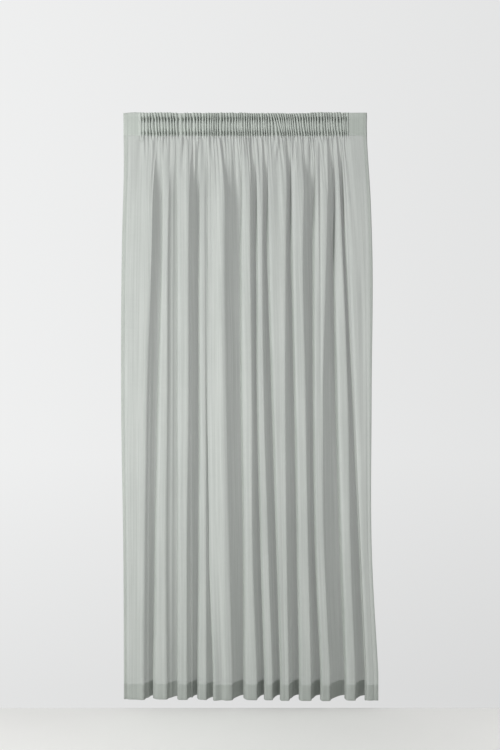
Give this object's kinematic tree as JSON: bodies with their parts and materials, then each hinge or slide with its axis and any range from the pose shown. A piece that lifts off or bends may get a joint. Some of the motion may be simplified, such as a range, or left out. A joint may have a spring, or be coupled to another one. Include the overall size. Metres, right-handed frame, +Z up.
{
  "type": "sheer voile curtain",
  "caption": "Sheer voile curtain panel gathered on a pencil-pleat heading tape, hanging in soft uneven folds to a doubled hem.",
  "frame": {"origin": "middle of the heading's top edge, where the curtain is held up", "axes": "+Z up, +X to the right as the front is seen, -Y towards the viewer"},
  "size_m": [1.0902, 0.0774, 2.5043],
  "materials": {
    "voile": "sheer plain-weave voile, grey-green, matt with a faint sheen",
    "tape": "woven gathering tape, dyed to match",
    "cord": "thin braided polyester cord"
  },
  "bodies": {
    "root": {"voile_panel": "voile", "heading_tape": "tape", "draw_cord_loop": "cord"}
  },
  "joints": []
}
